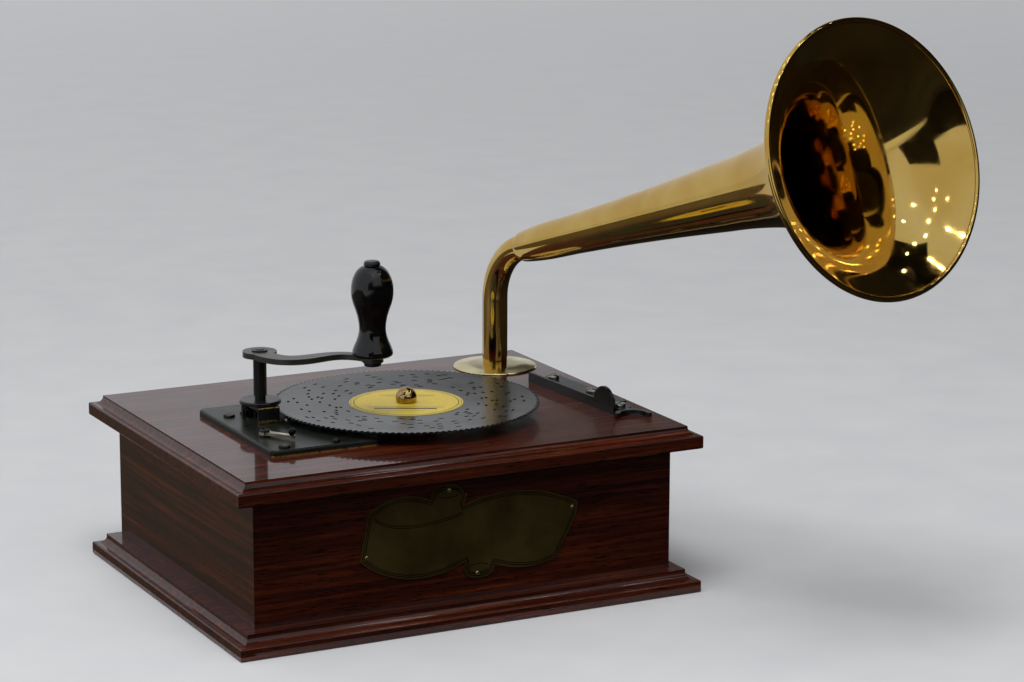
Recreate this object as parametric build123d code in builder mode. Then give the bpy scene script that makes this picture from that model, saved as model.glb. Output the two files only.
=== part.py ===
from build123d import *
import os
from math import atan2, cos, degrees, hypot, pi, radians, sin, sqrt, tan

os.makedirs("parts", exist_ok=True)

# Case: two moulded boards with four mitred panels between them
case_width = 214.0
case_depth = 174.0
base_fascia = 5.5
base_height = 9.7
board_underside = 64.0
board_fascia_top = 69.8
board_top = 73.4
moulding_ledge = 2.5
moulding_inset = 5.0
cove_radius = 3.6
arris = 0.8
body_inset = 10.3
panel_thickness = 9.0
block_leg = 10.0
fit = 0.05
running_fit = 0.06

# Bedplate: cast plate on the top board, with a tongue that carries the disc's spindle
plate_left = -77.5
plate_right = -27.8
plate_front = -52.1
plate_back = 30.5
plate_thickness = 2.6
plate_corner = 3.0
plate_edge_round = 0.9
tongue_front = -24.0
tongue_back = 6.5
tongue_end = 15.0
plate_top = board_top + plate_thickness

# Disc and its spindle
disc_x = 3.5
disc_y = -9.3
disc_teeth = 136
gear_module = 0.84
disc_thickness = 0.7
disc_sag = 1.0
disc_underside = board_top + 5.6
disc_top = disc_underside + disc_thickness
seat_height = disc_underside - disc_sag
label_bed = disc_top - disc_sag
spindle_radius = 2.5
label_radius = 24.8
label_thickness = 0.15
first_track = 29.5
track_pitch = 1.95
track_count = 12
slot_length = 2.4
slot_width = 1.1

# Crank shaft, placed so that its pinion meshes with the disc's rim
pinion_teeth = 17
crank_y = 3.0
disc_pitch_radius = disc_teeth * gear_module / 2
pinion_pitch_radius = pinion_teeth * gear_module / 2
centre_distance = disc_pitch_radius + pinion_pitch_radius
crank_x = disc_x - sqrt(centre_distance**2 - (crank_y - disc_y) ** 2)
mesh_angle = degrees(atan2(disc_y - crank_y, disc_x - crank_x))
shaft_radius = 2.0
sleeve_radius = 2.85
pinion_bottom = disc_underside - 1.2
pinion_top = disc_top + 0.8
bridge_half_width = 4.9
bridge_half_depth = 9.6
bridge_leg = 1.4
bridge_top = 82.8
bridge_deck = 1.7
collar_radius = 8.9
collar_thickness = 1.5
sleeve_bottom = 86.2
arm_top = 105.5
arm_thickness = 2.4
boss_radius = 7.3

# Crank handle, on an axle riveted into the arm's end
handle_x = -20.8
handle_y = -27.7
axle_radius = 1.8
grip_length = 38.9
cap_radius = 3.5

# Horn: foot tube, elbow and flaring bell on one inclined axis
horn_x = 79.4
horn_y = 55.3
horn_turn = -79.1
horn_rise = 17.3
horn_axis_height = 126.3
tube_radius = 5.75
tube_wall = 0.9
elbow_radius = 28.0
tube_foot = 62.0
horn_wall = 0.8
socket_length = 5.0
bell_length = 254.9
bell_joint = 190.0
bell_radius = 56.9
bead_radius = 1.2
flange_radius = 19.2

# Angle bracket and finger lever on the right
bracket_x = 81.8
bracket_y = -14.6
bracket_turn = 3.2
bracket_half = 36.0
bracket_height = 4.4
bracket_sheet = 1.2
foot_width = 16.0
foot_setback = 15.0
ear_radius = 8.2
ear_height = 11.0
lever_x = 89.5
lever_y = -44.3
lever_boss = 5.1
crescent_x = 88.5
crescent_y = -58.7
crescent_radius = 7.0
crescent_width = 2.4

# Catch lever at the bedplate's front left
catch_x = -70.2
catch_y = -27.1
catch_tip_x = -62.6
catch_tip_y = -37.8


def save(piece, name):
    """Label a finished piece and write it to its own file."""
    piece.part.label = name
    export_step(piece.part, f"parts/{name}.step")


# Boards: one moulded section run along both directions and mitred where the two runs meet
def moulded_board(bottom, fascia_top, top):
    """A board whose fascia, ledge and cove run round all four edges."""
    with BuildPart() as board:
        for plane, half, run, mode in (
            (Plane.XZ, case_width / 2, case_depth / 2, Mode.ADD),
            (Plane.YZ, case_depth / 2, case_width / 2, Mode.INTERSECT),
        ):
            with BuildSketch(plane) as section:
                with BuildLine():
                    cove_start = (half - moulding_ledge, fascia_top)
                    cove_end = (half - moulding_inset, top)
                    Polyline((0, bottom), (half, bottom), (half, fascia_top), cove_start)
                    RadiusArc(cove_start, cove_end, cove_radius)
                    Line(cove_end, (0, top))
                    mirror(about=Plane.YZ)
                make_face()
                fillet(section.vertices().group_by(Axis.X)[-1], arris)
                fillet(section.vertices().group_by(Axis.X)[0], arris)
            extrude(amount=run, both=True, mode=mode)
    return board.part


pilot_radius = 0.85
foot_screw_radius = 1.3
movement_left = -66.5
movement_right = -19.0
movement_front = -21.0
movement_back = 17.0
plate_screws = ((-70.5, 11.5), (-70.0, -47.3), (-34.5, 24.0), (8.5, -20.0))
front_pin = (-47.2, -48.3)
bracket_screw_offsets = ((9.4, 31.2), (10.5, -0.6))
lever_pivot_depth = 6.0
bracket_along = (cos(radians(bracket_turn)), sin(radians(bracket_turn)), 0)
bracket_frame = Plane((bracket_x, bracket_y, board_top), x_dir=bracket_along)
bracket_screws = [bracket_frame.from_local_coords((x, y, 0)) for x, y in bracket_screw_offsets]
corner_x = case_width / 2 - body_inset - panel_thickness
corner_y = case_depth / 2 - body_inset - panel_thickness
case_screw_x = corner_x - block_leg / 3
case_screw_y = corner_y - block_leg / 3
socket_radius = 7.4

with BuildPart() as top_board:
    add(moulded_board(board_underside, board_fascia_top, board_top))
    with BuildSketch(Plane.XY.offset(board_underside)):
        with Locations(((movement_left + movement_right) / 2, (movement_front + movement_back) / 2)):
            RectangleRounded(movement_right - movement_left, movement_back - movement_front, plate_corner)
        with Locations((horn_x, horn_y)):
            Circle(socket_radius + fit)
    extrude(amount=board_top - board_underside, mode=Mode.SUBTRACT)
    with BuildSketch(Plane.XY.offset(board_top)):
        with Locations(*plate_screws[:3], *[(p.X, p.Y) for p in bracket_screws], (lever_x, lever_y)):
            Circle(pilot_radius + fit)
        with Locations(front_pin):
            Circle(pilot_radius + fit)
        with Locations(plate_screws[3]):
            Circle(pilot_radius + fit)
    extrude(amount=-lever_pivot_depth, mode=Mode.SUBTRACT)
save(top_board, "top_board")

screw_counterbore = 3.2
case_screw_length = 26.0
with BuildPart() as base_board:
    add(moulded_board(0, base_fascia, base_height))
    with BuildSketch(Plane.XY):
        with GridLocations(2 * case_screw_x, 2 * case_screw_y, 2, 2):
            Circle(foot_screw_radius + fit)
    extrude(amount=base_height, mode=Mode.SUBTRACT)
    with BuildSketch(Plane.XY):
        with GridLocations(2 * case_screw_x, 2 * case_screw_y, 2, 2):
            Circle(screw_counterbore + fit)
    extrude(amount=2.4, mode=Mode.SUBTRACT)
save(base_board, "base_board")


# Panels: each is a mitred board, standing on the base board
def mitred_panel(plane, length):
    """A standing panel with 45 degree ends; its outer face is the plane's far side."""
    with BuildPart() as panel:
        with BuildSketch(plane):
            with BuildLine():
                Polyline(
                    (-length / 2, 0),
                    (length / 2, 0),
                    (length / 2 - panel_thickness, panel_thickness),
                    (-length / 2 + panel_thickness, panel_thickness),
                    close=True,
                )
            make_face()
        extrude(amount=board_underside - base_height)
    return panel


body_width = case_width - 2 * body_inset
body_depth = case_depth - 2 * body_inset
panel_places = {
    "front_panel": ((0, -body_depth / 2), (1, 0, 0), body_width),
    "back_panel": ((0, body_depth / 2), (-1, 0, 0), body_width),
    "left_panel": ((-body_width / 2, 0), (0, -1, 0), body_depth),
    "right_panel": ((body_width / 2, 0), (0, 1, 0), body_depth),
}
for panel_name, (middle, along, length) in panel_places.items():
    save(mitred_panel(Plane((*middle, base_height), x_dir=along), length), panel_name)

# Corner blocks: a glue block in each inner corner, drilled for the screws from below
with BuildPart() as corner_blocks:
    for side_x in (-1, 1):
        for side_y in (-1, 1):
            with BuildSketch(Plane.XY.offset(base_height)):
                with BuildLine():
                    Polyline(
                        (side_x * corner_x, side_y * corner_y),
                        (side_x * (corner_x - block_leg), side_y * corner_y),
                        (side_x * corner_x, side_y * (corner_y - block_leg)),
                        close=True,
                    )
                make_face()
            extrude(amount=board_underside - base_height)
    with BuildSketch(Plane.XY.offset(base_height)):
        with GridLocations(2 * case_screw_x, 2 * case_screw_y, 2, 2):
            Circle(foot_screw_radius + fit)
    extrude(amount=case_screw_length, mode=Mode.SUBTRACT)
save(corner_blocks, "corner_blocks")


# Screws: a turned head with a slot and a plain shank that stands for the thread
def slotted_screw(head_radius, head_height, shank_radius, shank_length, head_round=0.0):
    """A screw with its head's underside at height zero and its shank pointing down."""
    with BuildPart() as screw:
        with BuildSketch(Plane.XY):
            Circle(head_radius)
        extrude(amount=head_height)
        if head_round:
            fillet(screw.edges().group_by(Axis.Z)[-1], head_round)
        with BuildSketch(Plane.XY.offset(head_height)):
            Rectangle(2.2 * head_radius, 0.24 * head_radius)
        extrude(amount=-0.4 * head_height, mode=Mode.SUBTRACT)
        with BuildSketch(Plane.XY):
            Circle(shank_radius)
        extrude(amount=-shank_length)
    return screw.part


with BuildPart() as case_screws:
    case_screw = slotted_screw(screw_counterbore, 2.0, foot_screw_radius, case_screw_length)
    with GridLocations(2 * case_screw_x, 2 * case_screw_y, 2, 2):
        add(case_screw.mirror(Plane.XY).translate((0, 0, 2.4)))
save(case_screws, "case_screws")

# Front plate: a thin ribbon-shaped plate on the front panel, plain, held by four pins
body_front = body_depth / 2
front_plate_thickness = 0.7
front_plane = Plane.XZ.offset(body_front)
front_pins = ((-46.9, 33.4), (48.8, 43.2), (-9.2, 57.6), (3.9, 20.2))
with BuildPart() as front_plate:
    with BuildSketch(front_plane):
        with BuildLine():
            left_end = Line((-49.8, 31.9), (-46.2, 51.6))
            top_left = ThreePointArc(left_end @ 1, (-32.0, 57.0), (-17.4, 54.2))
            curl_points = ((-16.5, 58.4), (-10.5, 59.9), (-4.0, 58.2), (-1.5, 55.2), (-2.7, 50.1))
            upper_curl = Spline(top_left @ 1, *curl_points, tangents=((-0.2, 1), (-0.4, -1)))
            run_points = ((8.9, 52.9), (23.0, 53.5), (38.0, 50.9), (51.2, 45.5))
            top_right = Spline(upper_curl @ 1, *run_points, tangents=((1, 0.42), (1, -0.5)))
            right_end = Spline(top_right @ 1, (50.4, 40.0), (46.9, 32.5), (41.4, 22.2))
            bottom_right = ThreePointArc(right_end @ 1, (27.0, 19.8), (11.7, 23.2))
            curl_points = ((10.6, 19.6), (5.1, 18.0), (-1.7, 20.6), (-2.8, 23.3), (-1.1, 26.1))
            lower_curl = Spline(bottom_right @ 1, *curl_points, tangents=((0.2, -1), (0.6, 1)))
            run_points = ((-13.5, 22.1), (-25.0, 21.4), (-37.2, 24.1), left_end @ 0)
            Spline(lower_curl @ 1, *run_points, tangents=((-1, -0.45), (-1, 0.9)))
        make_face()
        with Locations(*front_pins):
            Circle(0.5 + fit, mode=Mode.SUBTRACT)
    extrude(amount=front_plate_thickness)
save(front_plate, "front_plate")

with BuildPart() as plate_pins:
    with BuildSketch(front_plane.offset(front_plate_thickness)):
        with Locations(*front_pins):
            Circle(1.0)
    extrude(amount=0.7)
    fillet(plate_pins.edges().group_by(Axis.Y)[0], 0.4)
    with BuildSketch(front_plane.offset(front_plate_thickness)):
        with Locations(*front_pins):
            Circle(0.5)
    extrude(amount=-front_plate_thickness + fit)
save(plate_pins, "plate_pins")

# Bedplate: rectangle and tongue in one casting, with a window for the star wheels
arbor_z = seat_height - 3.9
star_radius = 3.6
last_track = first_track + track_pitch * (track_count - 1)
arbor_left = disc_x - last_track - 2.2
arbor_right = disc_x - first_track + 2.9
cheek = 1.2
window_left = arbor_left - cheek - 0.2
window_right = arbor_right + cheek + 0.2
window_half = 4.2
bush_radius = 4.2
bedplate_screw_radius = 1.2
with BuildPart() as bedplate:
    with BuildSketch(Plane.XY.offset(board_top)):
        with Locations(((plate_left + plate_right) / 2, (plate_front + plate_back) / 2)):
            RectangleRounded(plate_right - plate_left, plate_back - plate_front, plate_corner)
        with Locations(((plate_right - 10 + tongue_end) / 2, (tongue_front + tongue_back) / 2)):
            RectangleRounded(tongue_end - plate_right + 10, tongue_back - tongue_front, plate_corner)
    extrude(amount=plate_thickness)
    fillet(bedplate.edges().group_by(Axis.Z)[-1], plate_edge_round)
    with BuildSketch(Plane.XY.offset(board_top)):
        with Locations(((window_left + window_right) / 2, disc_y)):
            Rectangle(window_right - window_left, 2 * window_half)
        with Locations((crank_x, crank_y)):
            Circle(bush_radius + fit)
        with Locations((disc_x, disc_y)):
            Circle(spindle_radius + fit)
        with Locations(*plate_screws, front_pin):
            Circle(bedplate_screw_radius)
    extrude(amount=plate_thickness, mode=Mode.SUBTRACT)
save(bedplate, "bedplate")

with BuildPart() as bedplate_screws:
    plate_screw = slotted_screw(2.5, 1.0, pilot_radius, plate_thickness + 5.5, head_round=0.5)
    with Locations(*[(x, y, plate_top) for x, y in plate_screws]):
        add(plate_screw)
    small_screw = slotted_screw(1.6, 1.3, pilot_radius, plate_thickness + 5.5, head_round=0.8)
    with Locations((*front_pin, plate_top)):
        add(small_screw)
save(bedplate_screws, "bedplate_screws")

# Spindle: a shouldered post riveted in the tongue, with a seat for the disc
spindle_steps = (
    (board_top + 0.1, spindle_radius, label_bed + 4.3 - board_top - 0.1),
    (plate_top, 6.0, 1.0),
    (plate_top + 1.0, 4.6, seat_height - fit - plate_top - 1.0),
)
with BuildPart() as spindle:
    for bottom, radius, height in spindle_steps:
        with BuildSketch(Plane((disc_x, disc_y, bottom))):
            Circle(radius)
        extrude(amount=height)
    fillet(spindle.edges().group_by(Axis.Z)[-1], 0.8)
save(spindle, "spindle")


# Toothed outlines: straight-sided teeth with backlash
def gear_outline(teeth, root, tip, root_share, tip_share, phase):
    """Corner points of a gear, with the shares of half a pitch at root and tip."""
    pitch = 2 * pi / teeth
    points = []
    for tooth in range(teeth):
        middle = radians(phase) + tooth * pitch
        for radius, turn in ((root, -root_share), (tip, -tip_share), (tip, tip_share), (root, root_share)):
            points.append((radius * cos(middle + turn * pitch), radius * sin(middle + turn * pitch)))
    return points


# Disc: thin steel, toothed round its rim, punched in rows of slots, and drawn down a little
# at the middle where its knob presses it on the spindle's shoulder
disc_tip = disc_pitch_radius + 0.62
disc_root = disc_pitch_radius - 0.78
disc_frame = Plane((disc_x, disc_y, seat_height))
with BuildPart() as disc:
    with BuildSketch(Plane((disc_x, disc_y, seat_height), x_dir=(1, 0, 0), z_dir=(0, -1, 0))):
        with BuildLine():
            bore = spindle_radius + running_fit
            under = Polyline((bore, 0), (label_radius, 0), (disc_tip, disc_sag))
            rim_top = disc_sag + disc_thickness
            over = Polyline((bore, disc_thickness), (label_radius, disc_thickness), (disc_tip, rim_top))
            Line(under @ 0, over @ 0)
            Line(under @ 1, over @ 1)
        make_face()
    revolve(axis=Axis((disc_x, disc_y, 0), (0, 0, 1)))
    with BuildSketch(disc_frame):
        with BuildLine():
            Polyline(*gear_outline(disc_teeth, disc_root, disc_tip, 0.33, 0.1, mesh_angle + 180), close=True)
        make_face()
    extrude(amount=disc_sag + disc_thickness, mode=Mode.INTERSECT)
    with BuildSketch(disc_frame):
        for track in range(track_count):
            radius = first_track + track * track_pitch
            slots = 9 + (5 * track) % 7
            for slot in range(slots):
                turn = 360 * (slot + 0.36 * sin(2.1 * slot + 1.7 * track)) / slots + 47 * track
                with Locations(Location((radius * cos(radians(turn)), radius * sin(radians(turn))), turn)):
                    Rectangle(slot_width, slot_length)
    extrude(amount=disc_sag + disc_thickness, mode=Mode.SUBTRACT)
save(disc, "disc")

with BuildPart() as disc_label:
    with BuildSketch(disc_frame.offset(disc_thickness)):
        Circle(label_radius - 0.1)
        Circle(spindle_radius + 0.3, mode=Mode.SUBTRACT)
    extrude(amount=label_thickness)
save(disc_label, "disc_label")

# Knob: a ball cut flat below, bored to slide on the spindle's end
knob_radius = 4.6
knob_centre = label_bed + 2.3
knob_bottom = label_bed + label_thickness + 0.1
with BuildPart() as disc_knob:
    with BuildSketch(Plane.XZ.offset(-disc_y)):
        with BuildLine():
            flat = sqrt(knob_radius**2 - (knob_centre - knob_bottom) ** 2)
            Line((disc_x, knob_bottom), (disc_x + flat, knob_bottom))
            side = (disc_x + knob_radius, knob_centre)
            RadiusArc((disc_x + flat, knob_bottom), side, -knob_radius)
            RadiusArc(side, (disc_x, knob_centre + knob_radius), -knob_radius)
            Line((disc_x, knob_centre + knob_radius), (disc_x, knob_bottom))
        make_face()
    revolve(axis=Axis((disc_x, disc_y, 0), (0, 0, 1)))
    with BuildSketch(Plane((disc_x, disc_y, knob_bottom))):
        Circle(spindle_radius + running_fit)
    extrude(amount=label_bed + 4.6 - knob_bottom, mode=Mode.SUBTRACT)
save(disc_knob, "disc_knob")

# Crank shaft and what is fast on it
crank_axis = Axis((crank_x, crank_y, 0), (0, 0, 1))


def ring_on_crank(bottom, height, outer, inner):
    """A plain ring round the crank's axis."""
    with BuildPart() as ring:
        with BuildSketch(Plane((crank_x, crank_y, bottom))):
            Circle(outer)
            Circle(inner, mode=Mode.SUBTRACT)
        extrude(amount=height)
    return ring


bush_bottom = 68.4
clip_thickness = 1.0
shaft_bottom = bush_bottom - clip_thickness - 1.0
shaft_top = arm_top + 0.9
with BuildPart() as crank_shaft:
    with BuildSketch(Plane((crank_x, crank_y, shaft_bottom))):
        Circle(shaft_radius)
    extrude(amount=shaft_top - shaft_bottom)
    fillet(crank_shaft.edges().group_by(Axis.Z)[-1], 0.5)
save(crank_shaft, "crank_shaft")

clip_bottom = bush_bottom - clip_thickness - 0.1
save(ring_on_crank(clip_bottom, clip_thickness, shaft_radius + 1.6, shaft_radius + fit), "shaft_clip")

with BuildPart() as drive_pinion:
    with BuildSketch(Plane((crank_x, crank_y, pinion_bottom))):
        with BuildLine():
            pinion_phase = mesh_angle + 180 / pinion_teeth
            pinion_tip = pinion_pitch_radius + 0.6
            pinion_root = pinion_pitch_radius - 0.85
            pinion_points = gear_outline(pinion_teeth, pinion_root, pinion_tip, 0.31, 0.09, pinion_phase)
            Polyline(*pinion_points, close=True)
        make_face()
        Circle(shaft_radius + fit, mode=Mode.SUBTRACT)
    extrude(amount=pinion_top - pinion_bottom)
save(drive_pinion, "drive_pinion")

bush_height = pinion_bottom - 0.4 - bush_bottom
bush = ring_on_crank(bush_bottom, bush_height, bush_radius, shaft_radius + running_fit)
with BuildPart() as shaft_bush:
    add(bush.part)
    with BuildSketch(Plane((crank_x, crank_y, plate_top))):
        Circle(6.0)
        Circle(bush_radius, mode=Mode.SUBTRACT)
    extrude(amount=0.8)
save(shaft_bush, "shaft_bush")

# Bearing bridge: a strip bent into a portal over the pinion, with out-turned feet
foot_depth = 1.7
foot_height = 1.0
with BuildPart() as bearing_bridge:
    with BuildSketch(Plane((crank_x, crank_y, plate_top))):
        with GridLocations(0, 2 * bridge_half_depth - bridge_leg, 1, 2):
            Rectangle(2 * bridge_half_width, bridge_leg)
    extrude(amount=bridge_top - bridge_deck - plate_top)
    with BuildSketch(Plane((crank_x, crank_y, bridge_top - bridge_deck))):
        Rectangle(2 * bridge_half_width, 2 * bridge_half_depth)
    extrude(amount=bridge_deck)
    fillet(bearing_bridge.edges().filter_by(Axis.X).group_by(Axis.Z)[-1], 0.7)
    with BuildSketch(Plane((crank_x, crank_y, plate_top))):
        with GridLocations(0, 2 * bridge_half_depth + foot_depth, 1, 2):
            Rectangle(2 * bridge_half_width, foot_depth)
    extrude(amount=foot_height)
    with BuildSketch(Plane((crank_x, crank_y, bridge_top - bridge_deck))):
        Circle(shaft_radius + running_fit)
    extrude(amount=bridge_deck, mode=Mode.SUBTRACT)
save(bearing_bridge, "bearing_bridge")

with BuildPart() as crank_collar:
    add(ring_on_crank(bridge_top + 0.1, collar_thickness, collar_radius, shaft_radius + fit).part)
    fillet(crank_collar.edges().group_by(Axis.Z)[-1].sort_by(SortBy.LENGTH)[-1], 0.6)
    neck = sleeve_bottom - bridge_top - collar_thickness
    add(ring_on_crank(bridge_top + collar_thickness, neck, 2.4, shaft_radius + fit).part)
save(crank_collar, "crank_collar")

sleeve_height = arm_top - arm_thickness - sleeve_bottom
save(ring_on_crank(sleeve_bottom, sleeve_height, sleeve_radius, shaft_radius + fit), "crank_sleeve")

# Crank arm: a flat S-curved arm, broad at the boss and slender at the handle
near_boss = ((crank_x, crank_y), (-59.4, -6.5), (-55.4, -13.6), (-47.6, -16.4))
near_handle = ((-38.6, -15.6), (-31.0, -16.3), (-25.4, -20.4), (handle_x, handle_y))
arm_route = near_boss + near_handle
arm_half_widths = (4.6, 4.3, 4.1, 3.9, 3.3, 2.6, 2.4, 2.6)
eye_radius = 4.6


def arm_side(side):
    """Points beside the arm's centre line, half its width away on one side."""
    points = []
    last = len(arm_route) - 1
    for index, ((x, y), half) in enumerate(zip(arm_route, arm_half_widths)):
        before, after = arm_route[max(index - 1, 0)], arm_route[min(index + 1, last)]
        run_x, run_y = after[0] - before[0], after[1] - before[1]
        run = hypot(run_x, run_y)
        points.append((x - side * half * run_y / run, y + side * half * run_x / run))
    return points


with BuildPart() as crank_arm:
    with BuildSketch(Plane.XY.offset(arm_top - arm_thickness)):
        with BuildLine():
            left_side = Spline(*arm_side(1))
            right_side = Spline(*arm_side(-1))
            Line(left_side @ 0, right_side @ 0)
            Line(left_side @ 1, right_side @ 1)
        make_face()
        with Locations((crank_x, crank_y)):
            Circle(boss_radius)
        with Locations((handle_x, handle_y)):
            Circle(eye_radius)
        with Locations((crank_x, crank_y)):
            Circle(shaft_radius + fit, mode=Mode.SUBTRACT)
        with Locations((handle_x, handle_y)):
            Circle(axle_radius + fit, mode=Mode.SUBTRACT)
    extrude(amount=arm_thickness)
save(crank_arm, "crank_arm")

# Handle: axle with its nut below and its button head above, and the turned grip
with BuildPart() as handle_axle:
    with BuildSketch(Plane((handle_x, handle_y, arm_top - arm_thickness - 0.4))):
        Circle(axle_radius)
    extrude(amount=grip_length + arm_thickness + 0.6)
save(handle_axle, "handle_axle")

nut_radius = 3.7
with BuildPart() as handle_nut:
    with BuildSketch(Plane((handle_x, handle_y, arm_top - arm_thickness - 1.8))):
        Circle(nut_radius)
    extrude(amount=1.8)
    fillet(handle_nut.edges().group_by(Axis.Z)[0], 0.7)
    with BuildSketch(Plane((handle_x, handle_y, arm_top - arm_thickness - 0.45))):
        Circle(axle_radius + fit)
    extrude(amount=0.45, mode=Mode.SUBTRACT)
save(handle_nut, "handle_nut")

grip_bottom = arm_top + 0.15
grip_waist = ((8.55, 1.9), (7.75, 4.5), (6.7, 7.0), (5.9, 9.6), (5.65, 12.1), (5.9, 14.7), (6.45, 17.4))
grip_bulb = ((7.25, 20.0), (8.2, 22.8), (8.85, 25.8), (8.95, 28.6), (8.7, 31.4), (7.9, 34.2))
grip_crown = ((6.3, 36.9), (3.9, 38.6))
grip_profile = grip_waist + grip_bulb + grip_crown
with BuildPart() as handle_grip:
    with BuildSketch(Plane((handle_x, handle_y, grip_bottom), x_dir=(1, 0, 0), z_dir=(0, -1, 0))):
        with BuildLine():
            bore = axle_radius + running_fit
            foot = Line((bore, 0), (7.7, 0))
            rim = RadiusArc(foot @ 1, grip_profile[0], -1.35)
            flank = Spline(*grip_profile, tangents=((-0.1, 1), (-1, 0.3)))
            crown = Line(flank @ 1, (bore, 38.7))
            Line(crown @ 1, foot @ 0)
        make_face()
    revolve(axis=Axis((handle_x, handle_y, 0), (0, 0, 1)))
save(handle_grip, "handle_grip")

with BuildPart() as handle_cap:
    with BuildSketch(Plane((handle_x, handle_y, arm_top + grip_length + 0.25))):
        Circle(cap_radius)
    extrude(amount=1.9)
    fillet(handle_cap.edges().group_by(Axis.Z)[-1], 1.2)
save(handle_cap, "handle_cap")

with BuildPart() as crank_cap:
    with BuildSketch(Plane((crank_x, crank_y, arm_top))):
        Circle(3.4)
        Circle(shaft_radius + fit, mode=Mode.SUBTRACT)
    extrude(amount=0.6)
save(crank_cap, "crank_cap")

# Star wheels on their arbor, held by two cheeks in the bedplate's window
wheel_thickness = 1.0
arbor_radius = 0.8
star_teeth = 8
with BuildPart() as star_wheels:
    for track in range(track_count):
        wheel_x = disc_x - first_track - track * track_pitch - wheel_thickness / 2
        with BuildSketch(Plane((wheel_x, disc_y, arbor_z), x_dir=(0, 1, 0), z_dir=(1, 0, 0))):
            with BuildLine():
                Polyline(*gear_outline(star_teeth, 2.2, star_radius, 0.42, 0.08, 11 * track), close=True)
            make_face()
            Circle(arbor_radius + running_fit, mode=Mode.SUBTRACT)
        extrude(amount=wheel_thickness)
save(star_wheels, "star_wheels")

with BuildPart() as star_arbor:
    with BuildSketch(Plane((arbor_left, disc_y, arbor_z), x_dir=(0, 1, 0), z_dir=(1, 0, 0))):
        Circle(arbor_radius)
    extrude(amount=arbor_right - arbor_left)
save(star_arbor, "star_arbor")

ear_length = 3.2
gantry_bottom = arbor_z - star_radius - 1.6
with BuildPart() as gantry:
    with BuildSketch(Plane.XZ.offset(-disc_y)):
        with BuildLine():
            left, right = arbor_left, arbor_right
            Polyline(
                (left - cheek - ear_length, plate_top),
                (left - cheek, plate_top),
                (left - cheek, gantry_bottom - cheek),
                (right + cheek, gantry_bottom - cheek),
                (right + cheek, plate_top),
                (right + cheek + ear_length, plate_top),
                (right + cheek + ear_length, plate_top + cheek),
                (right, plate_top + cheek),
                (right, gantry_bottom),
                (left, gantry_bottom),
                (left, plate_top + cheek),
                (left - cheek - ear_length, plate_top + cheek),
                close=True,
            )
        make_face()
    extrude(amount=2.6, both=True)
save(gantry, "gantry")

rivet_offset = cheek + 1.7
with BuildPart() as gantry_rivets:
    with BuildSketch(Plane.XY.offset(plate_top + cheek)):
        with Locations((arbor_left - rivet_offset, disc_y), (arbor_right + rivet_offset, disc_y)):
            Circle(1.2)
    extrude(amount=0.6)
    fillet(gantry_rivets.edges().group_by(Axis.Z)[-1], 0.35)
save(gantry_rivets, "gantry_rivets")

# Comb: one steel comb of twelve teeth on a thin bolster, with two screws
comb_left = disc_x - last_track - track_pitch / 2
comb_right = disc_x - first_track + track_pitch / 2
comb_tip = disc_y + 3.6
comb_root = 3.0
comb_back = 12.0
bolster = 0.6
comb_thickness = 1.0
comb_screw_places = ((comb_left + 5, 8.5), (comb_right - 5, 8.5))
with BuildPart() as comb_bolster:
    with BuildSketch(Plane.XY.offset(plate_top)):
        with Locations(((comb_left + comb_right) / 2, (comb_root + comb_back) / 2 + 0.5)):
            Rectangle(comb_right - comb_left, comb_back - comb_root - 1)
        with Locations(*comb_screw_places):
            Circle(1.0 + fit, mode=Mode.SUBTRACT)
    extrude(amount=bolster)
save(comb_bolster, "comb_bolster")

with BuildPart() as comb:
    with BuildSketch(Plane.XY.offset(plate_top + bolster)):
        with Locations(((comb_left + comb_right) / 2, (comb_root + comb_back) / 2)):
            Rectangle(comb_right - comb_left, comb_back - comb_root)
        for track in range(track_count):
            tooth_x = disc_x - first_track - track * track_pitch
            with Locations((tooth_x, (comb_tip + comb_root) / 2)):
                Rectangle(track_pitch - 0.5, comb_root - comb_tip + 0.02 * track)
        with Locations(*comb_screw_places):
            Circle(1.0 + fit, mode=Mode.SUBTRACT)
    extrude(amount=comb_thickness)
save(comb, "comb")

with BuildPart() as comb_screws:
    comb_screw = slotted_screw(2.0, 0.6, 1.0, bolster + comb_thickness - fit)
    with Locations(*[(x, y, plate_top + bolster + comb_thickness) for x, y in comb_screw_places]):
        add(comb_screw)
save(comb_screws, "comb_screws")

# Catch lever at the front left: a flat bright lever on a post, with a small ball
catch_length = hypot(catch_tip_x - catch_x, catch_tip_y - catch_y)
catch_turn = degrees(atan2(catch_tip_y - catch_y, catch_tip_x - catch_x))
catch_along = (cos(radians(catch_turn)), sin(radians(catch_turn)), 0)
catch_frame = Plane((catch_x, catch_y, plate_top + 0.9), x_dir=catch_along)
with BuildPart() as catch_lever:
    with BuildSketch(catch_frame):
        Circle(2.6)
        with BuildLine():
            Polyline((0, -1.5), (catch_length, -1.0), (catch_length, 1.0), (0, 1.5), close=True)
        make_face()
        with Locations((catch_length, 0)):
            Circle(1.3)
        Circle(1.2 + running_fit, mode=Mode.SUBTRACT)
    extrude(amount=1.3)
save(catch_lever, "catch_lever")

with BuildPart() as catch_post:
    post = ((plate_top, 2.4, 0.85), (plate_top + 0.85, 1.2, 1.45), (plate_top + 2.3, 2.0, 0.8))
    for bottom, radius, height in post:
        with BuildSketch(Plane((catch_x, catch_y, bottom))):
            Circle(radius)
        extrude(amount=height)
    fillet(catch_post.edges().group_by(Axis.Z)[-1], 0.4)
save(catch_post, "catch_post")

with BuildPart() as catch_ball:
    with Locations((catch_tip_x, catch_tip_y, plate_top + 0.9 + 1.3 + 1.35)):
        Sphere(1.6)
    with BuildSketch(Plane((catch_tip_x, catch_tip_y, plate_top + 0.9 + 1.3))):
        Circle(3)
    extrude(amount=-2, mode=Mode.SUBTRACT)
save(catch_ball, "catch_ball")

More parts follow.
